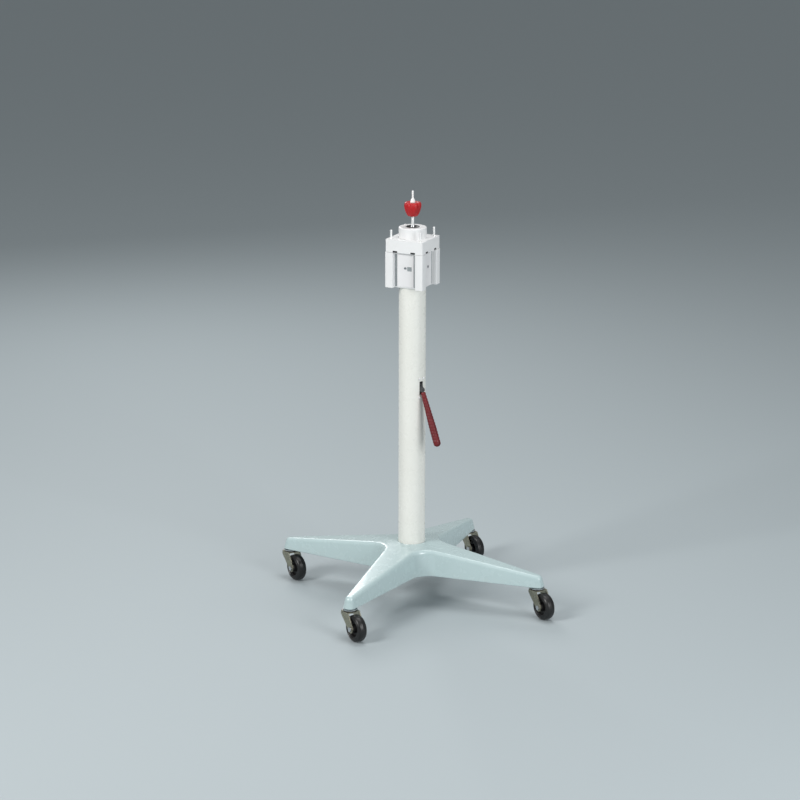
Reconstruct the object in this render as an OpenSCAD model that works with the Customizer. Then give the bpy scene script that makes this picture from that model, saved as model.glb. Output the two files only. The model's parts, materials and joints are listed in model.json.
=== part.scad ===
// Mobile floor stand of an intraoral x-ray unit: a four-legged cast base on swivel
// casters, a tubular column, and a square head that carries the arm.
// Millimetres. +Z is up, and the legs lie along the X and Y axes. The origin is on the
// floor, under the middle of the whole stand with its casters trailing one way.

/* [Base] */
// Distance from the column's axis to the end of a leg
leg_reach = 408; // [360:1:480]
// Half width of a leg at its end, at the lower edge
leg_end_half_w = 17; // [15:0.5:22]
// Half width that a leg's side line would reach at the column's axis
leg_root_half_w = 60; // [54:1:76]
// Radius of the hollow corner between two legs, seen from above
leg_fillet_r = 58; // [40:1:80]
// Height of a leg's side at its end
leg_end_h = 31; // [28:1:44]
// Height of the casting at the hub, from its lower edge to where the column enters
hub_h = 81; // [74:1:110]
// Wall of the base casting
base_wall = 7; // [5:0.5:10]
// Distance from the leg's end to the caster's stem
stem_inset = 18; // [16:0.5:24]

/* [Casters] */
// Diameter of a caster's wheel
wheel_d = 75; // [64:1:100]
// Width of a caster's tyre
wheel_w = 28; // [22:1:34]
// Thickness of the tyre on its core
tyre_t = 12; // [8:0.5:16]
// Horizontal distance from the stem to the axle
trail = 32.5; // [26:1:42]
// Way the casters trail, seen from above
trail_angle = -31; // [-180:1:180]
// Diameter of the axle bolt
axle_d = 8; // [6:0.5:10]
// Diameter of the caster's stem
stem_d = 12; // [10:0.5:16]
// Thickness of the fork's plate
fork_t = 3; // [2:0.5:4]
// Space between the wheel's top and the fork's plate
wheel_clearance = 2.5; // [2:0.5:8]

/* [Column] */
// Outside diameter of the column
column_d = 76.2; // [70:0.1:84]
// Wall of the column
column_wall = 3; // [2:0.5:5]
// Depth that the column sits in the base
column_seat = 60; // [50:1:70]
// Height of the column's upper end
column_top_z = 1045; // [950:1:1150]

/* [Head] */
// Half width of the head's core, across its flat faces
core_half = 44; // [43:0.5:50]
// How far the corner posts stand out from the core
post_proud = 13.5; // [6:0.5:14]
// Width of a corner post along a face
post_w = 24; // [22:0.5:28]
// Height of the head's body
body_h = 100; // [90:1:120]
// Height of the head's cap
cap_h = 35.5; // [26:0.5:44]
// Half width of the cap
cap_half = 56.5; // [54:0.5:58]
// Shadow gap between a post and the cap
post_gap = 0.6; // [0.4:0.1:3]
// Diameter of a corner stud
stud_d = 6; // [5:0.5:8]
// Distance between two neighbouring studs
stud_pitch = 89; // [86:0.5:90]
// Free height of a stud above the cap
stud_free = 25; // [16:1:34]
// Outside diameter of the collar that the arm turns on
collar_d = 78; // [77:0.1:82]
// Height of the collar above the cap
collar_h = 30; // [24:1:44]
// Width of a cover plate
cover_w = 50; // [44:1:56]
// Thickness of a cover plate
cover_t = 2; // [1.5:0.5:3.5]

/* [Lock spindle] */
// Diameter of the spindle rod
rod_d = 8; // [6:0.5:10]
// Height of the knob's foot above the collar
knob_lift = 30; // [28:1:50]
// Largest diameter of the knob
knob_d = 49; // [36:0.5:52]
// Height of the knob
knob_h = 39; // [26:0.5:42]
// Height of the nut and tip above the knob
tip_h = 33.5; // [22:0.5:40]

/* [Lever] */
// Height of the lever's pivot
pivot_z = 630; // [500:1:760]
// Distance from the column's inner wall in to the pivot
pivot_inset = 9.1; // [8.5:0.1:10.5]
// Side of the column that the lever is on, seen from above
lever_angle = -22; // [-180:1:180]
// Lean of the hanging lever, from the vertical
lever_lean = 23.5; // [20:0.5:32]
// Length of the grip
grip_l = 161; // [110:1:180]
// Diameter of the grip at its lower end
grip_d = 21; // [16:0.5:24]
// Thickness of the lever's plate
lever_t = 10; // [7:0.5:11]

/* [Hidden] */
fit_gap = 0.1;        // between fixed pieces that slide together at assembly
run_gap = 0.06;       // radial clearance of a turning or sliding fit
clear_gap = 0.3;      // radial clearance of a screw or a free piece
$fn = 64;

SIDES = ["right", "back", "left", "front"];   // legs at 0, 90, 180 and 270 degrees

// Base
column_r = column_d / 2;
column_ir = column_r - column_wall;
race_h = 2.5;                                   // gap that the caster's balls run in
flange_h = 2;                                   // of the caster's stem, under the socket
socket_z = wheel_d + wheel_clearance + fork_t + race_h + flange_h;      // underside of the caster's socket
skirt_z = socket_z + 2;                         // lower edge of the casting
leg_end_z = skirt_z + leg_end_h;
hub_top_z = skirt_z + hub_h;
seat_z = hub_top_z - column_seat;               // ledge that the column stands on
hub_floor_t = 12;                               // floor under that ledge
hub_boss_r = column_r + 9;
stem_reach = leg_reach - stem_inset;
top_slope = (hub_top_z - leg_end_z) / (leg_reach - column_r);
apex_z = hub_top_z + top_slope * column_r;      // where the sloping tops would meet
leg_taper = (leg_root_half_w - leg_end_half_w) / leg_reach;
edge_draft = 5;                                 // lean of the casting's sides
edge_r = 9;                                     // rounding of the casting's top edges
socket_r = stem_d / 2 + 9;
bolt_d = 16;                                    // foot bolt

// Casters
wheel_r = wheel_d / 2;
core_r = wheel_r - tyre_t;
fork_top_z = socket_z - flange_h - race_h;
fork_under_z = fork_top_z - fork_t;
fork_gap = wheel_w + 5;                         // between the fork's cheeks
bush_d = axle_d + 4;
axle_eye_r = axle_d / 2 + 7;
crown_r = 22;
ball_count = 14;

// The column's axis, so that the whole stand's box is centred over the origin
wheel_out = trail + wheel_r;
axis_x = (crown_r - wheel_out * cos(trail_angle) - wheel_w / 2 * abs(sin(trail_angle))) / 2;
axis_y = (wheel_out * abs(sin(trail_angle)) + wheel_w / 2 * cos(trail_angle) - crown_r) / 2;

// Head
body_z = column_top_z + 2 - cap_h - body_h;     // underside of the head's body
cap_z = body_z + body_h;
head_top_z = cap_z + cap_h;
post_half = core_half + post_proud;
collar_top_z = head_top_z + collar_h;
head_bore_r = column_r + fit_gap;
cover_h = body_h - 9;
notch = [14, 5, 3.8];                           // slot in the cap's lower edge: width, height, depth
notch_y = cover_w / 2 + 2;                     // from a face's middle to a slot's middle
plug_sunk = 0.4;                                // how far a slot's plug lies back from the cap's face
screw_d = 4;
cover_screw_l = 6;                               // length of a cover's screw under its head
cover_screw_h = 57;                             // height of a cover's screw above the body's underside
stud_shank_d = stud_d + 2;                      // of a corner stud inside the head
nut_flats = 13;
nut_h = 6.5;
nut_sunk = 2;                                   // how far a stud's nut lies up inside its pocket
grommet_r = 19;
top_bush_r = 6.5;
set_screw_d = 6;
collar_spigot_h = 22;

// Lever: its pivot is inside the column's wall, and its nose is the inner end of the arm, and works in the slot of the spindle's yoke
pivot_r = column_ir - pivot_inset;
lever_travel = 40;                              // degrees that the lever lifts
nose_angle = lever_travel / 2;                  // above level at rest, and as far below it when lifted
nose_r = 5;
neck_h = 6;                                     // of the arm between its nose and its hub
rod_r = rod_d / 2;
nose_z = pivot_z + pivot_r * sin(nose_angle);
yoke_play = 0.2;                                // between the nose and the yoke's jaws
yoke_r = 12;
yoke_jaw = 7;                                   // thickness of the jaw under the nose
yoke_head = 16;                                 // height of the yoke over the slot
yoke_front = 6;                                 // from the axis to the jaws' ends
cheek_t = 4;
shank_r = 3.5;
cheek_gap = lever_t + 2 * clear_gap;
pin_d = 8;
grip_start = 7;                                 // from the arm's bend to the grip's upper end
round_end = 14;                                 // of the grip's length, past its ribs
bend = [16, -12];                               // from the pivot to the arm's bend
slot_w = lever_t + 3;
slot_low = pivot_z - 26;
slot_high = pivot_z + 12;

// Spindle
knob_z = collar_top_z + knob_lift;
guide_z = body_z - 18;
guide_h = 12;
spring_l = 60;
spring_turns = 8;
spring_wire = 1.6;
spring_mean_r = rod_r + 4;

// ---- helpers ----

// Points of an arc about a centre
function arc(centre, r, from, to, steps) =
    [for (i = [0:steps]) let (a = from + (to - from) * i / steps) centre + r * [cos(a), sin(a)]];

// Corners of a square with rounded corners
function round_square(half, r, steps = 5) =
    [for (q = [0:3]) each arc([half - r, half - r], r, 0, 90, steps) * [[cos(90 * q), sin(90 * q)], [-sin(90 * q), cos(90 * q)]]];

// One quarter of the base's outline: half of the leg along +X, the hollow corner, half of the next leg
function quarter_outline(inset, taper_lean = atan(leg_taper)) =
    let (
        lean = sqrt(1 + leg_taper * leg_taper),
        root = leg_root_half_w - inset * lean,
        r = leg_fillet_r + inset,
        c = (root + r * lean) / (1 + leg_taper),
        end_x = leg_reach - inset,
        end_half = root - leg_taper * end_x,
        end_r = min(10, end_half - 1)
    )
    concat(
        arc([end_x - end_r, end_half - end_r], end_r, 0, 90 - taper_lean, 4),
        arc([c, c], r, 270 - taper_lean, 180 + taper_lean, 10),
        [for (p = arc([end_x - end_r, end_half - end_r], end_r, 90 - taper_lean, 0, 4)) [p[1], p[0]]]
    );

function turn(points, a) = [for (p = points) [p[0] * cos(a) - p[1] * sin(a), p[0] * sin(a) + p[1] * cos(a)]];

function outline(inset) = [for (q = [0:3]) each turn(quarter_outline(inset), 90 * q)];

// Height of the casting's top at a distance from the axis
function top_z(r, below = 0) = apex_z - top_slope * r - below;

// Ring of the casting: the outline with an inset, at a fixed height or under the sloping top
function ring(inset, below, z = undef) =
    [for (p = outline(inset)) [p[0], p[1], z == undef ? top_z(norm(p), below) : z]];

// Solid between stacked rings, closed by a centre point below and above
module ring_stack(rings, bottom, top) {
    n = len(rings[0]);
    last = len(rings) - 1;
    points = concat([for (r = rings) each r], [[0, 0, bottom], [0, 0, top]]);
    low = len(points) - 2;
    high = len(points) - 1;
    faces = concat(
        [for (k = [0:last - 1], i = [0:n - 1]) let (a = k * n + i, b = k * n + (i + 1) % n) [a, a + n, b]],
        [for (k = [0:last - 1], i = [0:n - 1]) let (a = k * n + i, b = k * n + (i + 1) % n) [b, a + n, b + n]],
        [for (i = [0:n - 1]) [low, i, (i + 1) % n]],
        [for (i = [0:n - 1]) [last * n + (i + 1) % n, last * n + i, high]]
    );
    polyhedron(points, faces);
}

module tube(r, bore, h) {
    difference() {
        cylinder(r = r, h = h);
        translate([0, 0, -1]) cylinder(r = bore, h = h + 2);
    }
}

module hex(flats, h) {
    cylinder(d = flats / cos(30), h = h, $fn = 6);
}

module placed() {
    translate([axis_x, axis_y, 0]) children();
}

module at_corners(pitch) {
    for (x = [-1, 1], y = [-1, 1]) translate([x * pitch / 2, y * pitch / 2, 0]) children();
}

// ---- base ----

module base_shell() {
    difference() {
        ring_stack(
            [
                ring(0, 0, skirt_z),
                ring(edge_draft - 1, edge_r),
                ring(edge_draft + 1.5, edge_r * 0.35),
                ring(edge_draft + 5, 0)
            ],
            skirt_z, apex_z
        );
        ring_stack(
            [ring(base_wall, 0, skirt_z - 1), ring(base_wall + edge_draft, base_wall + edge_r * 0.35)],
            skirt_z - 1, apex_z - base_wall
        );
    }
}

module base_casting() {
    color("aliceblue")
    difference() {
        union() {
            base_shell();
            translate([0, 0, seat_z - hub_floor_t]) cylinder(r = hub_boss_r, h = hub_top_z - seat_z + hub_floor_t);
            for (a = [0:90:270]) rotate(a) {
                translate([stem_reach, 0, socket_z]) cylinder(r = socket_r, h = leg_end_z - socket_z - base_wall + 3);
                for (side = [-1, 1]) translate([hub_boss_r - 2, side * 2.5 - 2.5, seat_z])
                    cube([60, 5, hub_top_z - seat_z - 28]);
            }
        }
        translate([0, 0, seat_z]) cylinder(r = head_bore_r, h = apex_z);
        translate([0, 0, skirt_z - 40]) cylinder(d = bolt_d + 1, h = 100);
        for (a = [0:90:270]) rotate(a) translate([stem_reach, 0, socket_z - 1])
            cylinder(d = stem_d + 2 * fit_gap, h = leg_end_z - socket_z - base_wall - 2);
    }
}

module column_tube() {
    color("ivory")
    difference() {
        translate([0, 0, seat_z]) tube(column_r, column_ir, column_top_z - seat_z);
        rotate(lever_angle) translate([column_ir - 12, -slot_w / 2, slot_low])
            cube([30, slot_w, slot_high - slot_low]);
        bracket_screw_places() cylinder(d = screw_d + 2 * clear_gap, h = 30, center = true);
    }
}

module foot_plug() {
    color("gray")
    translate([0, 0, seat_z])
    tube(column_ir - fit_gap, bolt_d / 2 + fit_gap, 20);
}

module foot_bolt() {
    color("silver") {
        translate([0, 0, seat_z - hub_floor_t - 3]) cylinder(d = bolt_d, h = hub_floor_t + 3 + 26);
        translate([0, 0, seat_z - hub_floor_t - 13]) hex(24, 10);
    }
}

module foot_washer() {
    color("silver")
    translate([0, 0, seat_z - hub_floor_t - 3]) tube(17, bolt_d / 2 + clear_gap, 3);
}

// ---- head ----

module head_body() {
    color("white")
    difference() {
        union() {
            translate([0, 0, body_z]) linear_extrude(body_h) polygon(round_square(core_half, 2));
            at_corners(2 * post_half - post_w) translate([0, 0, body_z])
                linear_extrude(body_h - post_gap) polygon(round_square(post_w / 2, 3));
        }
        translate([0, 0, body_z - 1]) cylinder(r = head_bore_r, h = body_h + 2);
        at_corners(stud_pitch) translate([0, 0, body_z - 1]) {
            cylinder(d = stud_shank_d + 2 * clear_gap, h = body_h + 2);
            cylinder(d = nut_flats * 1.3, h = nut_h + nut_sunk + 1);
        }
        for (a = [0:90:270]) cover_screw_place(a) cylinder(d = screw_d + 2 * fit_gap, h = 16, center = true);
    }
}

module head_cap() {
    color("white")
    difference() {
        translate([0, 0, cap_z]) linear_extrude(cap_h) polygon(round_square(cap_half, 3));
        translate([0, 0, cap_z - 1]) cylinder(r = head_bore_r, h = cap_h + 2);
        at_corners(stud_pitch) translate([0, 0, cap_z - 1]) cylinder(d = stud_shank_d + 2 * fit_gap, h = cap_h + 2);
        set_screw_places() cylinder(d = set_screw_d + 2 * fit_gap, h = 40);
        at_notches() translate([-notch[2], -notch[0] / 2, -1]) cube([notch[2] + 1, notch[0], notch[1] + 1]);
    }
}

// Place of each slot: local X outward from the cap's face, local Z up from the cap's lower edge
module at_notches() {
    for (a = [0:90:270], side = [-1, 1]) rotate(a) translate([cap_half, side * notch_y, cap_z]) children();
}

module slot_plugs() {
    color("black")
    at_notches() translate([-notch[2] + fit_gap, -notch[0] / 2 + fit_gap, 0.2])
        cube([notch[2] - plug_sunk - fit_gap, notch[0] - 2 * fit_gap, notch[1] - fit_gap - 0.2]);
}

// Screw of a cover: outward along local +Z, on the cover's outer face
module cover_screw_place(a) {
    rotate(a) translate([core_half + cover_t, 0, body_z + cover_screw_h]) rotate([0, 90, 0]) children();
}

module cover_plate(a) {
    color("whitesmoke")
    difference() {
        rotate(a) translate([core_half, -cover_w / 2, body_z + 3]) cube([cover_t, cover_w, cover_h]);
        cover_screw_place(a) cylinder(d = screw_d + 2 * clear_gap, h = 16, center = true);
    }
}

module cover_screws() {
    color("dimgray")
    for (a = [0:90:270]) cover_screw_place(a) {
        translate([0, 0, -cover_screw_l]) cylinder(d = screw_d, h = cover_screw_l);
        difference() {
            cylinder(d = 7, h = 2);
            translate([0, 0, 0.8]) hex(2.5, 2);
        }
    }
}

module label_plate() {
    color("lightgray")
    rotate(270) translate([core_half + cover_t, 6, body_z + cover_screw_h - 8]) cube([0.6, 13, 12]);
}

module corner_studs() {
    color("silver")
    at_corners(stud_pitch) {
        translate([0, 0, body_z + 1]) cylinder(d = stud_shank_d, h = head_top_z - body_z - 1);
        translate([0, 0, head_top_z - 1]) cylinder(d = stud_d, h = stud_free);
        translate([0, 0, head_top_z + stud_free - 1]) cylinder(d1 = stud_d, d2 = stud_d - 2, h = 1);
    }
}

module stud_nuts() {
    color("silver")
    at_corners(stud_pitch) translate([0, 0, body_z + nut_sunk]) difference() {
        hex(nut_flats, nut_h);
        translate([0, 0, -1]) cylinder(d = stud_shank_d + 2 * fit_gap, h = nut_h + 2);
    }
}

module set_screw_places() {
    for (a = [90, 180]) rotate(a) translate([column_r, 0, cap_z + cap_h / 2]) rotate([0, 90, 0]) children();
}

module head_set_screws() {
    color("dimgray")
    set_screw_places() difference() {
        cylinder(d = set_screw_d, h = 11);
        translate([0, 0, 8]) hex(3, 4);
    }
}

module collar() {
    color("white")
    difference() {
        union() {
            translate([0, 0, head_top_z]) cylinder(d = collar_d, h = collar_h - 2);
            translate([0, 0, collar_top_z - 2]) cylinder(d1 = collar_d, d2 = collar_d - 4, h = 2);
            translate([0, 0, head_top_z - collar_spigot_h]) cylinder(r = column_ir - fit_gap, h = collar_spigot_h);
        }
        translate([0, 0, collar_top_z - 8]) cylinder(r = grommet_r, h = 10);
        translate([0, 0, head_top_z - collar_spigot_h - 1]) cylinder(r = top_bush_r + fit_gap, h = collar_h + 60);
    }
}

module collar_grommet() {
    color("black")
    translate([0, 0, collar_top_z - 8]) rotate_extrude() polygon([
        [top_bush_r + clear_gap, 0], [grommet_r - fit_gap, 0], [grommet_r - fit_gap, 8.5],
        [grommet_r - 1.5, 9.5], [top_bush_r + 4, 6], [top_bush_r + clear_gap, 5]
    ]);
}

module top_bush() {
    color("gray")
    translate([0, 0, head_top_z - collar_spigot_h]) rotate_extrude() polygon([
        [rod_r + run_gap, 0], [top_bush_r, 0], [top_bush_r, collar_h + collar_spigot_h - 1],
        [rod_r + 1.2, collar_h + collar_spigot_h + 5], [rod_r + run_gap, collar_h + collar_spigot_h + 5]
    ]);
}

module guide_bush() {
    color("goldenrod")
    translate([0, 0, guide_z]) tube(column_ir - fit_gap, rod_r + run_gap, guide_h);
}

// ---- lever ----

// Plane of the lever: local X is outward, local Y is up, the plate's middle is at 0
module in_lever_plane() {
    rotate(lever_angle) rotate([90, 0, 0]) children();
}

module bracket_screw_places() {
    for (side = [-1, 1], z = [slot_low - 8, slot_high + 8]) rotate(lever_angle)
        translate([column_r, side * (cheek_gap / 2 + cheek_t / 2), z]) rotate([0, 90, 0]) children();
}

module lever_bracket() {
    low = slot_low - 14;
    high = slot_high + 14;
    width = cheek_gap + 2 * cheek_t;
    color("gray")
    difference() {
        intersection() {
            translate([0, 0, low]) cylinder(r = column_ir - fit_gap, h = high - low);
            rotate(lever_angle) translate([pivot_r - 10, -width / 2, low]) cube([30, width, high - low]);
        }
        rotate(lever_angle) translate([pivot_r - 20, -cheek_gap / 2, slot_low + 2])
            cube([60, cheek_gap, slot_high - slot_low - 4]);
        in_lever_plane() translate([pivot_r, pivot_z, -30]) cylinder(d = pin_d + 2 * fit_gap, h = 60);
        bracket_screw_places() cylinder(d = screw_d + 2 * fit_gap, h = 30, center = true);
    }
}

module bracket_screws() {
    color("white")
    bracket_screw_places() {
        translate([0, 0, -12]) cylinder(d = screw_d, h = 12.5);
        translate([0, 0, 0.4]) cylinder(d1 = 8, d2 = 5, h = 2);
    }
}

module lever_pin() {
    color("silver")
    in_lever_plane() translate([pivot_r, pivot_z, -(cheek_gap / 2 + cheek_t)]) cylinder(d = pin_d, h = cheek_gap + 2 * cheek_t);
}

module lever_arm() {
    color("dimgray")
    in_lever_plane() translate([pivot_r, pivot_z, 0]) difference() {
        union() {
            translate([0, 0, -lever_t / 2]) linear_extrude(lever_t) {
                circle(r = 8);
                rotate(180 - nose_angle) translate([0, -neck_h / 2]) square([pivot_r, neck_h]);
                rotate(180 - nose_angle) translate([pivot_r, 0]) circle(r = nose_r);
                rotate(atan2(bend[1], bend[0])) translate([0, -5]) square([norm(bend), 10]);
                translate(bend) circle(r = 5);
            }
            translate([bend[0], bend[1], 0]) rotate([0, 0, lever_lean]) rotate([90, 0, 0])
                cylinder(r = shank_r, h = grip_start + grip_l - round_end);
        }
        translate([0, 0, -lever_t]) cylinder(d = pin_d + 2 * run_gap, h = 2 * lever_t);
    }
}

module lever_grip() {
    ribs = 16;
    upper_r = grip_d * 0.32;
    ribbed_l = grip_l - round_end;
    groove = 0.9;
    function grip_r(share) = upper_r + (grip_d / 2 - upper_r) * min(1, share * 1.4);
    color("firebrick")
    in_lever_plane() translate([pivot_r + bend[0], pivot_z + bend[1], 0]) rotate([0, 0, lever_lean])
        rotate([90, 0, 0]) translate([0, 0, grip_start]) difference() {
            rotate_extrude() polygon(concat(
                [[0, 0]],
                [for (i = [0:ribs - 1]) each [
                    [grip_r(i / ribs) - groove, i * ribbed_l / ribs],
                    [grip_r((i + 0.25) / ribs), (i + 0.25) * ribbed_l / ribs],
                    [grip_r((i + 0.75) / ribs), (i + 0.75) * ribbed_l / ribs]
                ]],
                arc([0, ribbed_l], grip_d / 2, 0, 90, 8)
            ));
            translate([0, 0, -1]) cylinder(r = shank_r + fit_gap, h = ribbed_l + 1);
        }
}

// ---- spindle ----

module spindle_rod() {
    low = nose_z + nose_r + yoke_play + yoke_head / 2;
    color("silver")
    translate([0, 0, low]) cylinder(r = rod_r, h = knob_z + knob_h - 3 - low);
}

module spindle_yoke() {
    slot_h = 2 * (nose_r + yoke_play);
    low = nose_z - slot_h / 2 - yoke_jaw;
    color("gray")
    difference() {
        intersection() {
            translate([0, 0, low]) cylinder(r = yoke_r, h = yoke_jaw + slot_h + yoke_head);
            rotate(lever_angle) translate([-yoke_r, -yoke_r, low]) cube([yoke_r + yoke_front, 2 * yoke_r, 60]);
        }
        rotate(lever_angle) translate([-nose_r - 2, -lever_t / 2 - 0.5, nose_z - slot_h / 2])
            cube([2 * yoke_r, lever_t + 1, slot_h]);
        translate([0, 0, nose_z + slot_h / 2 + yoke_head / 2]) cylinder(r = rod_r + fit_gap, h = yoke_head);
    }
}

module spring_collar() {
    color("gray")
    translate([0, 0, guide_z + guide_h + spring_l + clear_gap]) tube(11, rod_r + fit_gap, 6);
}

// Compression spring: a round wire swept along a helix, with flat-ground end rings
module return_spring() {
    steps = 18;
    sides = 8;
    wire_r = spring_wire / 2;
    n = spring_turns * steps;
    rise = spring_l - 2 * wire_r - 0.4;
    function spring_point(i, k) =
        let (a = 360 * i / steps, b = 360 * k / sides, r = spring_mean_r + wire_r * cos(b))
        [r * cos(a), r * sin(a), wire_r + 0.2 + rise * i / n + wire_r * sin(b)];
    points = [for (i = [0:n], k = [0:sides - 1]) spring_point(i, k)];
    color("silver")
    translate([0, 0, guide_z + guide_h]) polyhedron(points, concat(
        [for (i = [0:n - 1], k = [0:sides - 1]) let (a = i * sides + k, b = i * sides + (k + 1) % sides) [a, b, a + sides]],
        [for (i = [0:n - 1], k = [0:sides - 1]) let (a = i * sides + k, b = i * sides + (k + 1) % sides) [b, b + sides, a + sides]],
        [[for (k = [sides - 1:-1:0]) k], [for (k = [0:sides - 1]) n * sides + k]]
    ));
}

module knob() {
    flutes = 8;
    color("crimson")
    translate([0, 0, knob_z]) difference() {
        rotate_extrude() polygon([
            [0, 0], [knob_d * 0.24, 0], [knob_d * 0.33, knob_h * 0.1], [knob_d * 0.4, knob_h * 0.26],
            [knob_d * 0.455, knob_h * 0.44], [knob_d * 0.49, knob_h * 0.62], [knob_d * 0.5, knob_h * 0.76],
            [knob_d * 0.4875, knob_h * 0.88], [knob_d * 0.45, knob_h * 0.96], [knob_d * 0.39, knob_h],
            [knob_d * 0.24, knob_h * 0.97], [0, knob_h * 0.97]
        ]);
        translate([0, 0, -1]) cylinder(r = rod_r + run_gap, h = knob_h + 2);
        for (i = [0:flutes - 1]) rotate(360 * (i + 0.5) / flutes) translate([knob_d * 0.56, 0, -1])
            cylinder(r = knob_d * 0.1, h = knob_h + 2);
    }
}

module knob_nut() {
    color("white")
    translate([0, 0, knob_z + knob_h * 0.97]) rotate_extrude() polygon([
        [0, 0], [7.2, 0], [7.2, 2.5], [5.9, 6.5], [3.3, 12], [2.6, 14], [2.6, tip_h - 3], [1.4, tip_h], [0, tip_h]
    ]);
}

// ---- casters: local origin on the floor under the stem, local +X is the way the wheel trails ----

module at_caster(i) {
    rotate(90 * i) translate([stem_reach, 0, 0]) rotate(trail_angle - 90 * i) children();
}

module at_axle() {
    translate([trail, 0, wheel_r]) rotate([-90, 0, 0]) children();
}

module caster_stem() {
    color("silver") {
        translate([0, 0, fork_top_z]) cylinder(d = stem_d - 2, h = race_h + 1);
        translate([0, 0, socket_z - flange_h]) cylinder(r = crown_r - 2, h = flange_h);
        translate([0, 0, socket_z]) cylinder(d = stem_d, h = leg_end_z - socket_z - base_wall - 6);
        translate([0, 0, fork_under_z - 0.5]) cylinder(d = stem_d - 2, h = fork_t + 1);
        translate([0, 0, fork_under_z - 3.4]) cylinder(r1 = 7, r2 = 9, h = 3.1);
    }
}

module caster_ball_ring() {
    ball_r = race_h / 2 - 0.05;
    color("silver")
    for (i = [0:ball_count - 1]) rotate(360 * i / ball_count)
        translate([crown_r - 7, 0, fork_top_z + race_h / 2]) sphere(r = ball_r, $fn = 24);
}

// Outline of a fork's cheek, in the plane of the wheel
module cheek_outline() {
    top = fork_top_z - fork_t / 2 - wheel_r;
    polygon(concat(
        [[-trail + 20, top], [-trail - 14, top], [-trail - 16, top - 8]],
        arc([0, 0], axle_eye_r, 215, 385, 12)
    ));
}

module caster_fork() {
    half = fork_gap / 2;
    color("silver")
    difference() {
        union() {
            for (side = [-1, 1]) translate([trail, side * (half + fork_t / 2) + fork_t / 2, wheel_r]) rotate([90, 0, 0])
                linear_extrude(fork_t) cheek_outline();
            translate([0, 0, fork_under_z]) cylinder(r = crown_r, h = fork_t);
            translate([-14, -half - fork_t, fork_under_z]) cube([34, fork_gap + 2 * fork_t, fork_t]);
        }
        translate([0, 0, fork_under_z - 1]) cylinder(d = stem_d - 2 + 2 * run_gap, h = fork_t + 2);
        at_axle() cylinder(d = axle_d + 2 * fit_gap, h = 80, center = true);
    }
}

module caster_axle() {
    half = fork_gap / 2 + fork_t;
    color("silver")
    at_axle() {
        translate([0, 0, -half]) cylinder(d = axle_d, h = 2 * half + 7);
        translate([0, 0, -half - 4]) hex(13, 4);
        translate([0, 0, half]) difference() {
            hex(13, 5);
            translate([0, 0, -1]) cylinder(d = axle_d + 2 * fit_gap, h = 8);
        }
    }
}

module caster_bush() {
    color("goldenrod")
    at_axle() translate([0, 0, -fork_gap / 2 + fit_gap]) tube(bush_d / 2, axle_d / 2 + fit_gap, fork_gap - 2 * fit_gap);
}

module caster_wheel_core() {
    half = wheel_w / 2;
    bore = bush_d / 2 + run_gap;
    color("dimgray")
    at_axle() rotate_extrude() polygon([
        [bore, -half - 1], [bore + 5, -half - 1], [bore + 7, -4], [core_r - 5, -4], [core_r - 3, -half + 3], [core_r, -half + 3],
        [core_r, half - 3], [core_r - 3, half - 3], [core_r - 5, 4], [bore + 7, 4], [bore + 5, half + 1], [bore, half + 1]
    ]);
}

module caster_tyre() {
    half = wheel_w / 2;
    shoulder = 9;
    color([0.09, 0.09, 0.1])
    at_axle() rotate_extrude() polygon(concat(
        [[core_r, -half + 1.5], [core_r + 1.5, -half]],
        arc([wheel_r - shoulder, -half + shoulder], shoulder, -90, 0, 8),
        arc([wheel_r - shoulder, half - shoulder], shoulder, 0, 90, 8),
        [[core_r + 1.5, half], [core_r, half - 1.5]]
    ));
}

placed() base_casting();
placed() column_tube();
placed() foot_plug();
placed() foot_bolt();
placed() foot_washer();
placed() head_body();
placed() head_cap();
placed() slot_plugs();
placed() cover_screws();
placed() label_plate();
placed() corner_studs();
placed() stud_nuts();
placed() collar();
placed() collar_grommet();
placed() top_bush();
placed() guide_bush();
placed() head_set_screws();
placed() lever_bracket();
placed() bracket_screws();
placed() lever_arm();
placed() lever_grip();
placed() lever_pin();
placed() spindle_rod();
placed() spindle_yoke();
placed() spring_collar();
placed() return_spring();
placed() knob();
placed() knob_nut();
for (i = [0:3]) {
    placed() cover_plate(90 * i);
    placed() at_caster(i) caster_stem();
    placed() at_caster(i) caster_ball_ring();
    placed() at_caster(i) caster_fork();
    placed() at_caster(i) caster_axle();
    placed() at_caster(i) caster_bush();
    placed() at_caster(i) caster_wheel_core();
    placed() at_caster(i) caster_tyre();
}
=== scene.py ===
"""Looks of a mobile x-ray stand: enamelled four-legged base, tubular column, square head,
lock spindle with a red knob, red hand lever and four black-wheeled casters."""
import json
import math

import bpy
from mathutils import Matrix, Vector


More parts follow.
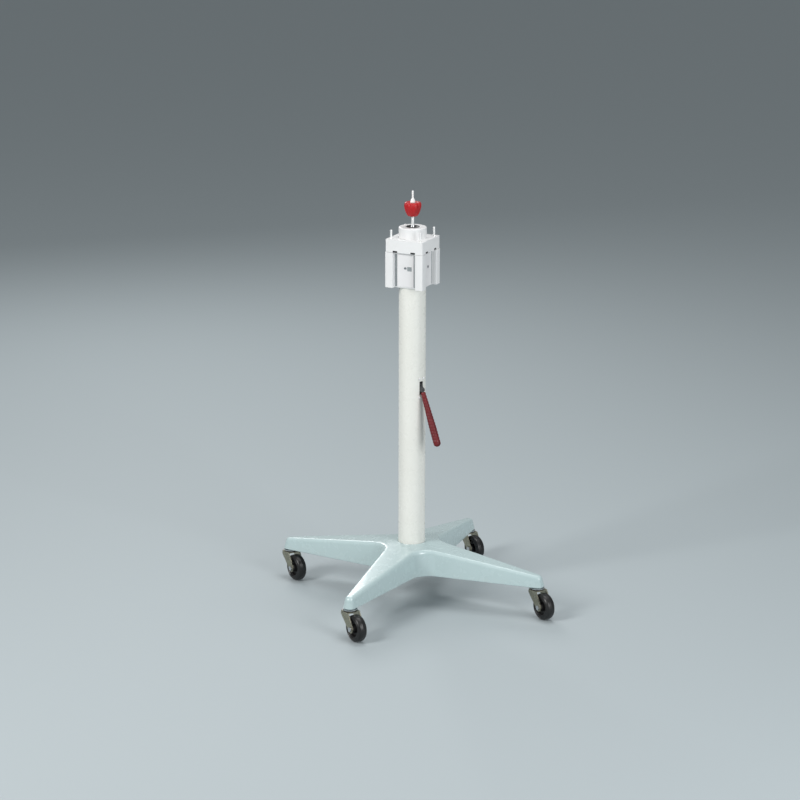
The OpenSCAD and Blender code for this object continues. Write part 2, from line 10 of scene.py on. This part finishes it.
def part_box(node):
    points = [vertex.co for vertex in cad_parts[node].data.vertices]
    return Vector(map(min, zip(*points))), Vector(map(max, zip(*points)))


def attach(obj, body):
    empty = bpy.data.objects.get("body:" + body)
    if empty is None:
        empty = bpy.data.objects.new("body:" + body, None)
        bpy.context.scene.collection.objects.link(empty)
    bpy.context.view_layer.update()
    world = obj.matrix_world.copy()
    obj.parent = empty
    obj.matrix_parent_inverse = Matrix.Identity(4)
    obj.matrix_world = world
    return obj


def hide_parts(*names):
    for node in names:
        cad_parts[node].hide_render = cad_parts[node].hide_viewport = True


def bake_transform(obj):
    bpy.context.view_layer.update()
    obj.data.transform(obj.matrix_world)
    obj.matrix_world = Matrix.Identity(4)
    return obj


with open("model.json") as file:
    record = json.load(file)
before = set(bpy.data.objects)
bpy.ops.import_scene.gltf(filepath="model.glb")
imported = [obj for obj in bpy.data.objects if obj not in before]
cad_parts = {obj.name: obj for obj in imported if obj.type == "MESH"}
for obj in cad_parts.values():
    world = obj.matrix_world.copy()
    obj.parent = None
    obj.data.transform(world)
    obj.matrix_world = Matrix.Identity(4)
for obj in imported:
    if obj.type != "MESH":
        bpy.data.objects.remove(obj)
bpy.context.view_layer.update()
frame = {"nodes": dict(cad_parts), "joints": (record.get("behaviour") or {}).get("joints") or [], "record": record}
nodes = frame["nodes"]

MM = 0.001
SIDES = ["right", "back", "left", "front"]


# ---- places, all from the frame ----

def box(node):
    low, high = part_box(node)
    return Vector(low), Vector(high)


def middle(node):
    low, high = box(node)
    return (low + high) / 2


def joint(name):
    return next(j for j in frame["joints"] if j["name"] == name)


column_low, column_high = box("column_tube")
column_middle = middle("column_tube")
axis = Vector((column_middle.x, column_middle.y, 0))
column_r = (column_high.x - column_low.x) / 2


# ---- camera and light ----

VIEW_AZIMUTH, VIEW_ELEVATION, VIEW_ROLL = 25.8, 15.3, 0.12
VIEW_DISTANCE = 8.0
AIM_HEIGHT, AIM_LEFT = 0.5802, 0.0341
LENS, SENSOR = 128.2, 36.0
FLOOR_REACH = 40


def make_camera():
    """A view from the right-front side, a little above, through a long lens."""
    azimuth, elevation = math.radians(VIEW_AZIMUTH), math.radians(VIEW_ELEVATION)
    back = Vector((math.sin(azimuth) * math.cos(elevation),
                   -math.cos(azimuth) * math.cos(elevation),
                   math.sin(elevation)))
    right = Vector((math.cos(azimuth), math.sin(azimuth), 0))
    target = axis + Vector((0, 0, AIM_HEIGHT)) - AIM_LEFT * right
    data = bpy.data.cameras.new("camera")
    data.lens, data.sensor_width = LENS, SENSOR
    data.clip_end = 5 * FLOOR_REACH
    camera = bpy.data.objects.new("camera", data)
    bpy.context.scene.collection.objects.link(camera)
    roll = Matrix.Rotation(math.radians(VIEW_ROLL), 3, back)
    turn = Matrix((roll @ right, roll @ back.cross(right), back)).transposed()
    camera.matrix_world = Matrix.Translation(target + VIEW_DISTANCE * back) @ turn.to_4x4()
    bpy.context.scene.camera = camera


def area_light(name, place, aim, size, power, colour=(1, 1, 1)):
    data = bpy.data.lights.new(name, "AREA")
    data.shape = "RECTANGLE"
    data.size, data.size_y = size
    data.energy = power
    data.color = colour
    lamp = bpy.data.objects.new(name, data)
    lamp.location = place
    lamp.rotation_euler = (Vector(aim) - Vector(place)).to_track_quat("-Z", "Y").to_euler()
    bpy.context.scene.collection.objects.link(lamp)


def make_studio():
    world = bpy.data.worlds.new("studio")
    world.use_nodes = True
    background = world.node_tree.nodes["Background"]
    background.inputs["Color"].default_value = (0.66, 0.70, 0.72, 1)
    background.inputs["Strength"].default_value = 0.42
    bpy.context.scene.world = world
    bpy.context.scene.view_settings.view_transform = "Standard"
    area_light("key", (-1.9, -3.8, 3.0), (0, 0, 0.6), (1.5, 2.0), 150, (1.0, 0.985, 0.97))
    area_light("fill", (3.6, -1.8, 1.8), (0, 0, 0.5), (1.6, 2.4), 85, (0.98, 0.99, 1.0))
    area_light("top", (0.2, 0.6, 3.8), (0, 0, 0.3), (2.0, 1.6), 45)
    area_light("back", (-2.6, 2.6, 2.6), (0, 0, 0.6), (1.6, 1.6), 40)
    reach = FLOOR_REACH
    mesh = bpy.data.meshes.new("floor")
    mesh.from_pydata([(-reach, -reach, 0), (reach, -reach, 0), (reach, reach, 0), (-reach, reach, 0)],
                     [], [(0, 1, 2, 3)])
    floor = bpy.data.objects.new("floor", mesh)
    bpy.context.scene.collection.objects.link(floor)
    floor_paint, _, _ = principled("floor_paint", (0.40, 0.45, 0.47), 0.7)
    floor.data.materials.append(floor_paint)


# ---- materials ----

PALE_DUST = (0.42, 0.40, 0.36)
DARK_DUST = (0.16, 0.15, 0.14)
IOR = 1.5


def principled(name, colour, roughness, metallic=0.0, coat=0.0, coat_roughness=0.08):
    mat = bpy.data.materials.new(name)
    mat.use_nodes = True
    tree = mat.node_tree
    shader = tree.nodes["Principled BSDF"]
    shader.inputs["Base Color"].default_value = (*colour, 1)
    shader.inputs["Roughness"].default_value = roughness
    shader.inputs["Metallic"].default_value = metallic
    shader.inputs["Coat Weight"].default_value = coat
    shader.inputs["Coat Roughness"].default_value = coat_roughness
    shader.inputs["IOR"].default_value = IOR
    return mat, tree, shader


def node(tree, kind, inputs=None, **settings):
    made = tree.nodes.new(kind)
    for key, value in settings.items():
        setattr(made, key, value)
    for key, value in (inputs or {}).items():
        made.inputs[key].default_value = value
    return made


def place_of(tree, stretch=(1, 1, 1)):
    """Coordinates in metres in the object's own frame, stretched along an axis where asked."""
    coords = node(tree, "ShaderNodeTexCoord")
    mapping = node(tree, "ShaderNodeMapping", {"Scale": stretch})
    tree.links.new(coords.outputs["Object"], mapping.inputs["Vector"])
    return mapping.outputs["Vector"]


def noise(tree, vector, scale, detail=3.0, roughness=0.5):
    made = node(tree, "ShaderNodeTexNoise", {"Scale": scale, "Detail": detail, "Roughness": roughness})
    tree.links.new(vector, made.inputs["Vector"])
    return made.outputs["Fac"]


def ramp(tree, value, low, high, to_low, to_high):
    made = node(tree, "ShaderNodeMapRange",
                {"From Min": low, "From Max": high, "To Min": to_low, "To Max": to_high})
    tree.links.new(value, made.inputs["Value"])
    return made.outputs["Result"]


def blend_colour(tree, factor, colour_a, colour_b):
    """Mix of two colours; either may be a colour or a socket."""
    made = node(tree, "ShaderNodeMix", data_type="RGBA")
    tree.links.new(factor, made.inputs["Factor"])
    for key, colour in (("A", colour_a), ("B", colour_b)):
        socket = next(s for s in made.inputs if s.name == key and s.type == "RGBA")
        if isinstance(colour, tuple):
            socket.default_value = (*colour, 1)
        else:
            tree.links.new(colour, socket)
    return next(s for s in made.outputs if s.type == "RGBA")


def add_bump(tree, shader, height, strength, distance):
    bump = node(tree, "ShaderNodeBump", {"Strength": strength, "Distance": distance})
    tree.links.new(height, bump.inputs["Height"])
    before = shader.inputs["Normal"].links
    if before:
        tree.links.new(before[0].from_socket, bump.inputs["Normal"])
    tree.links.new(bump.outputs["Normal"], shader.inputs["Normal"])


def low_dust(tree, vector, height):
    """1 at the floor, 0 above the height, broken up by noise."""
    split = node(tree, "ShaderNodeSeparateXYZ")
    tree.links.new(vector, split.inputs["Vector"])
    near = ramp(tree, split.outputs["Z"], 0.0, height, 1.0, 0.0)
    patches = ramp(tree, noise(tree, vector, 60, 5), 0.42, 0.68, 0.0, 1.0)
    both = node(tree, "ShaderNodeMath", operation="MULTIPLY")
    tree.links.new(near, both.inputs[0])
    tree.links.new(patches, both.inputs[1])
    return both.outputs["Value"]


def paint(name, colour, shade, roughness, coat, peel, dust_height=None):
    """Sprayed or enamelled metal: slow colour drift, orange peel, a few dull patches, dust low down."""
    mat, tree, shader = principled(name, colour, roughness, coat=coat, coat_roughness=0.06)
    place = place_of(tree)
    drift = ramp(tree, noise(tree, place, 5, 4), 0.35, 0.7, 0.0, 1.0)
    tone = blend_colour(tree, drift, colour, shade)
    if dust_height:
        dust = ramp(tree, low_dust(tree, place, dust_height), 0, 1, 0, 0.5)
        tone = blend_colour(tree, dust, tone, PALE_DUST)
    tree.links.new(tone, shader.inputs["Base Color"])
    dull = ramp(tree, noise(tree, place, 38, 6, 0.65), 0.3, 0.75, roughness * 0.75, roughness * 1.45)
    tree.links.new(dull, shader.inputs["Roughness"])
    add_bump(tree, shader, noise(tree, place, 420, 2), peel, 0.0003)
    add_bump(tree, shader, noise(tree, place, 24, 2), peel * 0.3, 0.001)
    return mat


def metal(name, colour, shade, roughness, stretch=(1, 1, 1), grain=900, spangle=0, metallic=1.0):
    """Bare or plated metal: mottled colour, uneven gloss and a drawn or cast grain."""
    mat, tree, shader = principled(name, colour, roughness, metallic=metallic)
    place = place_of(tree)
    mottle = ramp(tree, noise(tree, place, 90, 5, 0.6), 0.35, 0.7, 0.0, 1.0)
    if spangle:
        cells = node(tree, "ShaderNodeTexVoronoi", {"Scale": spangle})
        tree.links.new(place, cells.inputs["Vector"])
        split = node(tree, "ShaderNodeSeparateColor")
        tree.links.new(cells.outputs["Color"], split.inputs["Color"])
        mottle = ramp(tree, split.outputs["Red"], 0, 1, 0.0, 0.8)
    tree.links.new(blend_colour(tree, mottle, colour, shade), shader.inputs["Base Color"])
    uneven = ramp(tree, noise(tree, place, 160, 4), 0.3, 0.7, roughness * 0.7, roughness * 1.5)
    tree.links.new(uneven, shader.inputs["Roughness"])
    add_bump(tree, shader, noise(tree, place_of(tree, stretch), grain, 3), 0.18, 0.0002)
    return mat


def plastic(name, colour, shade, roughness, coat=0.0, grain=700, grain_depth=0.08, dust_height=None):
    """Moulded plastic or rubber: slight mottling, moulding grain and handling marks in the gloss."""
    mat, tree, shader = principled(name, colour, roughness, coat=coat)
    place = place_of(tree)
    mottle = ramp(tree, noise(tree, place, 45, 4), 0.35, 0.7, 0.0, 1.0)
    tone = blend_colour(tree, mottle, colour, shade)
    if dust_height:
        dust = ramp(tree, low_dust(tree, place, dust_height), 0, 1, 0, 0.55)
        tone = blend_colour(tree, dust, tone, DARK_DUST)
    tree.links.new(tone, shader.inputs["Base Color"])
    marks = ramp(tree, noise(tree, place, 110, 6, 0.7), 0.35, 0.72, roughness * 0.75, roughness * 1.5)
    tree.links.new(marks, shader.inputs["Roughness"])
    add_bump(tree, shader, noise(tree, place, grain, 2), grain_depth, 0.0003)
    return mat


MATERIALS = {
    "base_enamel": paint("base_enamel", (0.465, 0.58, 0.585), (0.45, 0.565, 0.572), 0.24, 0.45, 0.08,
                         dust_height=0.11),
    "column_enamel": paint("column_enamel", (0.80, 0.80, 0.75), (0.77, 0.77, 0.715), 0.28, 0.45, 0.12),
    "head_paint": paint("head_paint", (0.80, 0.80, 0.80), (0.76, 0.765, 0.765), 0.34, 0.3, 0.14),
    "cover_paint": paint("cover_paint", (0.77, 0.765, 0.77), (0.73, 0.725, 0.73), 0.36, 0.25, 0.14),
    "label_grey": plastic("label_grey", (0.30, 0.33, 0.34), (0.25, 0.28, 0.29), 0.45),
    "black_rubber": plastic("black_rubber", (0.010, 0.010, 0.011), (0.018, 0.018, 0.019), 0.5,
                            grain_depth=0.2),
    "knob_red": plastic("knob_red", (0.45, 0.002, 0.005), (0.37, 0.002, 0.004), 0.42, coat=0.05, grain=300,
                        grain_depth=0.04),
    "grip_red": plastic("grip_red", (0.15, 0.003, 0.006), (0.10, 0.002, 0.004), 0.5, grain_depth=0.2),
    "white_plastic": plastic("white_plastic", (0.86, 0.86, 0.85), (0.82, 0.82, 0.81), 0.30, coat=0.3),
    "zinc": metal("zinc", (0.40, 0.385, 0.30), (0.26, 0.25, 0.20), 0.34, spangle=260),
    "steel": metal("steel", (0.62, 0.63, 0.64), (0.50, 0.51, 0.53), 0.24, stretch=(1, 1, 8)),
    "bright_plate": metal("bright_plate", (0.93, 0.93, 0.92), (0.84, 0.85, 0.85), 0.42, stretch=(1, 1, 6),
                          metallic=0.55),
    "cast_iron": metal("cast_iron", (0.16, 0.16, 0.165), (0.10, 0.10, 0.105), 0.5, grain=500),
    "bronze": metal("bronze", (0.55, 0.37, 0.16), (0.42, 0.27, 0.11), 0.38),
    "tyre_black": plastic("tyre_black", (0.004, 0.004, 0.0045), (0.008, 0.008, 0.008), 0.36, coat=0.05,
                          dust_height=0.014),
    "core_black": plastic("core_black", (0.008, 0.008, 0.008), (0.015, 0.014, 0.014), 0.38,
                          dust_height=0.012),
}
slot_of = {row["node"]: row["material_slot"] for row in frame["record"]["subparts"]}


# ---- CAD nodes that stay: material, welded mesh, rounded edges ----

# widths of the rounded edges in millimetres: by node, then by what a node's name contains
EDGE = {
    "head_body": 1.6, "head_cap": 2.0, "collar": 0.8, "corner_studs": 0.3,
    "lever_bracket": 0.4, "lever_arm": 0.6, "spindle_yoke": 0.5, "label_plate": 0.2, "stud_nuts": 0.35,
    "foot_bolt": 0.5, "cover_screws": 0.25,
}
EDGE_BY_KIND = {"cover_plate": 1.0, "fork": 0.9, "wheel_core": 0.7, "axle": 0.4}
WELD_REACH = 0.01 * MM
BEVEL_ANGLE, SHARP_ANGLE = 35, 32


def edge_of(name):
    if name in EDGE:
        return EDGE[name]
    return next((width for kind, width in EDGE_BY_KIND.items() if kind in name), 0)


def sharpen(obj, angle):
    """Hard edges where faces meet at more than the angle."""
    split = obj.modifiers.new("sharp_edges", "EDGE_SPLIT")
    split.split_angle = math.radians(angle)


def dress(name):
    """Material and edges of a CAD node; the tube and the ball rings keep their own normals."""
    obj = nodes[name]
    mat = MATERIALS[slot_of[name]]
    if not obj.material_slots:
        obj.data.materials.append(mat)
    for slot in obj.material_slots:
        slot.material = mat
    if "ball_ring" in name or name == "column_tube":
        return
    if obj.data.has_custom_normals:
        with bpy.context.temp_override(object=obj, active_object=obj, mesh=obj.data):
            bpy.ops.mesh.customdata_custom_splitnormals_clear()
    for face in obj.data.polygons:
        face.use_smooth = True
    weld = obj.modifiers.new("weld", "WELD")
    weld.merge_threshold = WELD_REACH
    width = edge_of(name)
    if width:
        bevel = obj.modifiers.new("rounded_edges", "BEVEL")
        bevel.width = width * MM
        bevel.segments = 3
        bevel.limit_method = "ANGLE"
        bevel.angle_limit = math.radians(BEVEL_ANGLE)
        bevel.harden_normals = True
        bevel.use_clamp_overlap = True
    else:
        sharpen(obj, SHARP_ANGLE)


# ---- pieces built here ----

def piece(name, verts, faces, slot, body, *stands_for):
    """A smooth mesh in the row frame. It may ride on a body and take the place of nodes."""
    mesh = bpy.data.meshes.new(name)
    mesh.from_pydata([tuple(v) for v in verts], [], faces)
    mesh.validate()
    for face in mesh.polygons:
        face.use_smooth = True
    obj = bpy.data.objects.new(name, mesh)
    bpy.context.scene.collection.objects.link(obj)
    mesh.materials.append(MATERIALS[slot])
    if body:
        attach(obj, body)
    if stands_for:
        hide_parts(*stands_for)
    return obj


def ring_faces(rings, count, closed=False):
    """Quads between rings of the same number of points, in order, and back to the first if closed."""
    faces = []
    for k in range(rings if closed else rings - 1):
        start, onward = k * count, (k + 1) % rings * count
        for i in range(count):
            j = (i + 1) % count
            faces.append((start + i, start + j, onward + j, onward + i))
    return faces


def turned(profile, count, radius_at=None):
    """Points and faces of a closed (radius, height) outline turned about Z.
    radius_at(radius, height, angle) may shape the radius."""
    verts = []
    for r, z in profile:
        for i in range(count):
            a = 2 * math.pi * i / count
            rr = radius_at(r, z, a) if radius_at else r
            verts.append(Vector((rr * math.cos(a), rr * math.sin(a), z)))
    return verts, ring_faces(len(profile), count, closed=True)


def joined(parts):
    """One list of points and one of faces from several (points, faces, place) parts."""
    verts, faces = [], []
    for part_verts, part_faces, place in parts:
        start = len(verts)
        verts += [v + place for v in part_verts]
        faces += [tuple(start + i for i in face) for face in part_faces]
    return verts, faces


def arc(centre, r, start, end, steps):
    """Points of a circular arc between two angles in degrees."""
    return [(centre[0] + r * math.cos(math.radians(start + (end - start) * i / steps)),
             centre[1] + r * math.sin(math.radians(start + (end - start) * i / steps)))
            for i in range(steps + 1)]


def smooth_steps(points, steps):
    """A Catmull-Rom curve through a list of 2-D points."""
    out = []
    padded = [points[0]] + points + [points[-1]]
    for k in range(1, len(padded) - 2):
        p0, p1, p2, p3 = padded[k - 1:k + 3]
        for i in range(steps):
            t = i / steps
            out.append(tuple(0.5 * (2 * b + (c - a) * t + (2 * a - 5 * b + 4 * c - d) * t * t
                                    + (3 * b - a - 3 * c + d) * t ** 3)
                             for a, b, c, d in zip(p0, p1, p2, p3)))
    out.append(points[-1])
    return out


# ---- base casting ----

base_low, base_high = box("base_casting")
LEG_REACH = (base_high.x - base_low.x) / 2
END_HALF_W = 17 * MM
ROOT_HALF_W = 60 * MM
FILLET_R = 58 * MM
HUB_Z = base_high.z
SOCKET_Z = base_low.z
SKIRT_Z = SOCKET_Z + 2 * MM
END_Z = SKIRT_Z + 31 * MM
WALL = 7 * MM
END_CORNER_R, END_CORNER_SHARE = 13 * MM, 0.96
TOP_SLOPE = (HUB_Z - END_Z) / (LEG_REACH - column_r)
SIDE_STEPS, SKIN_STEPS, SKIN_SPREAD = 24, 26, 0.8
RIM_R = 1.2 * MM
RIM_TOP = 3 * MM
TOP_EDGE_R, TOP_EDGE_SPREAD = 12 * MM, 0.75
INNER_EDGE_IN, INNER_EDGE_DROP, INNER_END = 3 * MM, 0.55, 9 * MM
DRAFT = 4 * MM
LIP_DROP, LIP_REACH = 1.5 * MM, 4 * MM
TOP_CLEARANCE = 0.15 * MM
HUB_R, HUB_BORE_R, HUB_FLOOR, HUB_CHAMFER = 47 * MM, 9 * MM, 12 * MM, 2 * MM
SEAT_CLEARANCE = 0.2 * MM
BOSS_R, BOSS_BORE_R, BOSS_CHAMFER, BOSS_BELOW_END = 15 * MM, 6.1 * MM, 1.4 * MM, 12 * MM


def leg_outline(inset):
    """Outline of the base seen from above, inset by a distance, anticlockwise from the right leg's end."""
    taper = (ROOT_HALF_W - END_HALF_W) / LEG_REACH
    lean = math.sqrt(1 + taper * taper)
    root = ROOT_HALF_W - inset * lean
    r = FILLET_R + inset
    centre = (root + r * lean) / (1 + taper)
    end_x = LEG_REACH - inset
    end_half = root - taper * end_x
    end_r = min(END_CORNER_R, end_half * END_CORNER_SHARE)
    tilt = math.degrees(math.atan(taper))
    corner = arc((end_x - end_r, end_half - end_r), end_r, 0, 90 - tilt, 10)
    hollow = arc((centre, centre), r, 270 - tilt, 180 + tilt, 28)
    start, stop = corner[-1], hollow[0]
    side = [(start[0] + (stop[0] - start[0]) * i / SIDE_STEPS,
             start[1] + (stop[1] - start[1]) * i / SIDE_STEPS) for i in range(1, SIDE_STEPS)]
    mirrored = [(y, x) for x, y in reversed(corner + side)]
    quarter = corner + side + hollow + mirrored
    points = []
    for q in range(4):
        a = math.pi / 2 * q
        points += [(x * math.cos(a) - y * math.sin(a), x * math.sin(a) + y * math.cos(a))
                   for x, y in quarter]
    return points


def top_height(x, y):
    return HUB_Z - TOP_SLOPE * (math.hypot(x, y) - column_r)


def skin(rings, inner_r, under, lip):
    """Rings of points from the outline inwards to a circle about the column.
    rings is a list of (inset, drop below the top, None) or (inset, None, fixed height).
    The skin lies a distance under the top, and sinks by the lip at the circle."""
    verts = []
    for inset, drop, height in rings:
        outline = leg_outline(inset)
        count = len(outline)
        verts += [Vector((x, y, height if height is not None else top_height(x, y) - drop))
                  for x, y in outline]
    last = verts[-count:]
    for k in range(1, SKIN_STEPS + 1):
        t = (k / SKIN_STEPS) ** SKIN_SPREAD
        for v in last:
            r0 = math.hypot(v.x, v.y)
            r = r0 + (inner_r - r0) * t
            x, y = v.x * r / r0, v.y * r / r0
            sink = lip * max(0, 1 - (r - inner_r) / LIP_REACH) ** 2
            verts.append(Vector((x, y, top_height(x, y) - under - sink)))
    return verts, ring_faces(len(rings) + SKIN_STEPS, count)


def make_base():
    """Outer and inner skin of the casting, its hub with the column's seat, and four caster bosses."""
    side_rings = [(RIM_R, None, SKIRT_Z), (0, None, SKIRT_Z + RIM_R), (0, None, SKIRT_Z + RIM_TOP)]
    round_steps = 8
    round_rings = []
    for i in range(round_steps + 1):
        a = math.radians(90 * i / round_steps)
        inset = DRAFT + TOP_EDGE_R * TOP_EDGE_SPREAD * (1 - math.cos(a))
        round_rings.append((inset, TOP_EDGE_R * (1 - math.sin(a)), None))
    outer, outer_faces = skin(side_rings + round_rings, column_r + TOP_CLEARANCE, 0, LIP_DROP)
    inner_rings = [(RIM_R, None, SKIRT_Z), (WALL, None, SKIRT_Z),
                   (WALL + INNER_EDGE_IN, TOP_EDGE_R * INNER_EDGE_DROP + WALL, None)]
    inner, inner_faces = skin(inner_rings, column_r + INNER_END, WALL, 0)
    parts = [(outer, outer_faces, axis), (inner, [face[::-1] for face in inner_faces], axis)]
    seat_r, seat_z = column_r + SEAT_CLEARANCE, column_low.z
    floor_z = seat_z - HUB_FLOOR
    hub = [(HUB_BORE_R, floor_z), (HUB_R - HUB_CHAMFER, floor_z), (HUB_R, floor_z + HUB_CHAMFER),
           (HUB_R, HUB_Z - WALL), (seat_r, HUB_Z - WALL), (seat_r, seat_z), (HUB_BORE_R, seat_z)]
    parts.append((*turned(hub, 96), axis))
    boss_top = END_Z - BOSS_BELOW_END
    boss = [(BOSS_BORE_R, SOCKET_Z), (BOSS_R - BOSS_CHAMFER, SOCKET_Z), (BOSS_R, SOCKET_Z + BOSS_CHAMFER),
            (BOSS_R, boss_top), (BOSS_BORE_R, boss_top)]
    for side in SIDES:
        stem = middle(side + "_caster_stem")
        parts.append((*turned(boss, 48), Vector((stem.x, stem.y, 0))))
    verts, faces = joined(parts)
    base = piece("base_enamelled_casting", verts, faces, "base_enamel", "stand", "base_casting")
    sharpen(base, 40)


# ---- knob ----

def make_knob():
    """Eight-lobed knob, narrow below and widest near the top."""
    low, high = box("knob")
    height = high.z - low.z
    radius = (high.x - low.x) / 2
    bore = 4.1 * MM
    shape = [(0.48, 0.0), (0.56, 0.02), (0.66, 0.10), (0.80, 0.26), (0.91, 0.44), (0.98, 0.62), (1.0, 0.76),
             (0.975, 0.88), (0.90, 0.96), (0.78, 0.995), (0.62, 0.985), (0.50, 0.95)]
    outline = [(bore, 0)] + [(r * radius, z * height) for r, z in smooth_steps(shape, 5)]
    outline += [(bore, 0.95 * height)]
    lobes, lobe_depth = 8, 0.08
    lobe_start, lobe_ramp = 0.5 * radius, 0.3 * radius

    def lobed(r, z, a):
        share = min(1, max(0, (r - lobe_start) / lobe_ramp))
        dip = (0.5 - 0.5 * math.cos(lobes * a)) ** 2
        return r * (1 - lobe_depth * share * dip)

    verts, faces = turned(outline, 128, lobed)
    place = Vector((axis.x, axis.y, low.z))
    knob = piece("lobed_knob", [v + place for v in verts], faces, "knob_red", "knob", "knob")
    sharpen(knob, 50)


def make_cone():
    """White cone nut over the knob, with a thin pin on top."""
    low, high = box("knob_nut")
    height = high.z - low.z
    tip_r = 0.2 * MM
    shape = [(7.2, 0), (7.2, 2.2), (6.9, 3.4), (5.9, 6.5), (4.6, 9.6), (3.3, 12), (2.7, 14), (2.6, 17)]
    outline = [(tip_r, 0)] + [(r * MM, z * MM) for r, z in smooth_steps(shape, 4)]
    outline += [(2.6 * MM, height - 2.6 * MM), (2.3 * MM, height - 1.2 * MM), (1.5 * MM, height - 0.3 * MM),
                (tip_r, height)]
    verts, faces = turned(outline, 64)
    place = Vector((axis.x, axis.y, low.z))
    cone = piece("cone_nut_and_pin", [v + place for v in verts], faces, "white_plastic", "knob", "knob_nut")
    sharpen(cone, 40)


# ---- lever grip ----

GRIP_BEND_OUT, GRIP_BEND_DOWN = 16 * MM, 12 * MM
GRIP_LEAN = 23.5
GRIP_START = 7 * MM
GRIP_LENGTH, GRIP_RIBS, GRIP_OVAL = 147 * MM, 17, 0.96
GRIP_TOP_R, GRIP_END_R, GRIP_WIDENING = 6.7 * MM, 10.5 * MM, 1.4
GRIP_BORE_R, GRIP_TIP_R = 3.7 * MM, 0.4 * MM
# one rib: shares of its length, with the share of the groove's depth there
RIB = [(0.04, 1.0), (0.16, 0.25), (0.30, 0), (0.70, 0), (0.84, 0.25), (0.96, 1.0)]
RIB_DEPTH = 1 * MM


def make_grip():
    """Ribbed grip along the lever's shank, widening towards its round end."""
    pivot = Vector(joint("lever_swing")["pos_m"])
    across = Vector(joint("lever_swing")["axis"]).normalized()
    up = Vector((0, 0, 1))
    outward = across.cross(up).normalized()
    if outward.dot(middle("lever_grip") - axis) < 0:
        outward = -outward
    lean = math.radians(GRIP_LEAN)
    along = math.sin(lean) * outward - math.cos(lean) * up
    front = along.cross(across)
    start = pivot + GRIP_BEND_OUT * outward - GRIP_BEND_DOWN * up + GRIP_START * along
    outline = [(GRIP_BORE_R, 0)]
    for i in range(GRIP_RIBS):
        for share, depth in RIB:
            t = (i + share) / GRIP_RIBS
            r = GRIP_TOP_R + (GRIP_END_R - GRIP_TOP_R) * min(1, t * GRIP_WIDENING)
            outline.append((r - depth * RIB_DEPTH, t * GRIP_LENGTH))
    outline += arc((0, GRIP_LENGTH), GRIP_END_R, 4, 84, 10)
    bore_end = GRIP_LENGTH - 1 * MM
    outline += [(GRIP_TIP_R, GRIP_LENGTH + GRIP_END_R), (GRIP_TIP_R, bore_end), (GRIP_BORE_R, bore_end)]
    verts, faces = turned(outline, 48)
    verts = [start + v.z * along + v.x * across + GRIP_OVAL * v.y * front for v in verts]
    grip = piece("ribbed_grip", verts, faces, "grip_red", "lever", "lever_grip")
    sharpen(grip, 60)


# ---- tyres ----

WHEEL_R, TYRE_HALF_W, CORE_R = 37.5 * MM, 14 * MM, 25.5 * MM
CROWN_R, CROWN_HALF_W = 9 * MM, 5 * MM
# the tyre's side wall in millimetres: distance outwards from the core, depth in from the face
TYRE_WALL = [(5.4, 0.35), (4.6, 1.2), (3.4, 1.2), (2.6, 0.2), (1.2, 0.3), (0, 1.6)]


def make_tyre(side):
    """Moulded tyre with a rounded crown, a fine line round its middle and a groove in each side."""
    spin = joint(side + "_wheel_spin")
    centre = Vector(spin["pos_m"])
    turn = Vector((0, 0, 1)).rotation_difference(Vector(spin["axis"])).to_matrix()
    mould_line = [(WHEEL_R, 0.5 * MM), (WHEEL_R - 0.15 * MM, 1.0 * MM)]
    crown = arc((WHEEL_R - CROWN_R, CROWN_HALF_W), CROWN_R, 0, 78, 12)
    wall = [(CORE_R + out * MM, TYRE_HALF_W - depth * MM) for out, depth in TYRE_WALL]
    upper = mould_line + crown[1:] + wall
    outline = [(r, -z) for r, z in reversed(upper)] + upper
    verts, faces = turned(outline, 96)
    verts = [centre + turn @ v for v in verts]
    tyre = piece(side + "_moulded_tyre", verts, faces, "tyre_black", side + "_wheel", side + "_caster_tyre")
    sharpen(tyre, 40)


# ---- return spring ----

def make_spring():
    """Round-wire coil between the guide on the stand and the collar on the spindle."""
    low, high = box("return_spring")
    wire_r, turns, steps, sides = 0.8 * MM, 8, 32, 12
    mean_r = (high.x - low.x) / 2 - wire_r
    count = turns * steps
    verts = []
    for i in range(count + 1):
        a = 2 * math.pi * i / steps
        out = Vector((math.cos(a), math.sin(a), 0))
        z = low.z + wire_r + (high.z - low.z - 2 * wire_r) * i / count
        for k in range(sides):
            b = 2 * math.pi * k / sides
            spot = Vector((axis.x, axis.y, z + wire_r * math.sin(b)))
            verts.append(spot + (mean_r + wire_r * math.cos(b)) * out)
    faces = [tuple(reversed(face)) for face in ring_faces(count + 1, sides)]
    faces += [tuple(range(sides)), tuple(count * sides + k for k in reversed(range(sides)))]
    spring = piece("coil_spring", verts, faces, slot_of["return_spring"], None, "return_spring")
    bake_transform(spring)


# ---- painted shade strips in the head's grooves ----

def make_groove_shade_strips():
    """Dark grey strips down each groove between a cover plate and a corner post: painted shade that darkens the
    groove.
    """
    low, high = box("front_cover_plate")
    core = axis.y - high.y
    near = (high.x - low.x) / 2 + MM
    width, proud = 5.5 * MM, 0.5 * MM
    corners = ((core - proud, near), (core + proud, near),
               (core + proud, near + width), (core - proud, near + width))
    quads = [(0, 3, 2, 1), (4, 5, 6, 7), (0, 1, 5, 4), (1, 2, 6, 5), (2, 3, 7, 6), (3, 0, 4, 7)]
    for turns, name in enumerate(SIDES):
        turn = Matrix.Rotation(math.pi / 2 * turns, 3, "Z")
        strips = []
        for side in (-1, 1):
            verts = [turn @ Vector((x, side * y, z)) for z in (low.z, high.z) for x, y in corners]
            strips.append((verts, [quad[::side] for quad in quads], axis))
        # each strip is painted shade: a dark grey sheet put where the groove only falls into shade
        sharpen(piece(name + "_groove_shade_strips", *joined(strips), "label_grey", "stand"), 35)


make_camera()
make_studio()
for name in nodes:
    dress(name)
make_base()
make_knob()
make_cone()
make_grip()
make_spring()
make_groove_shade_strips()
for side in SIDES:
    make_tyre(side)
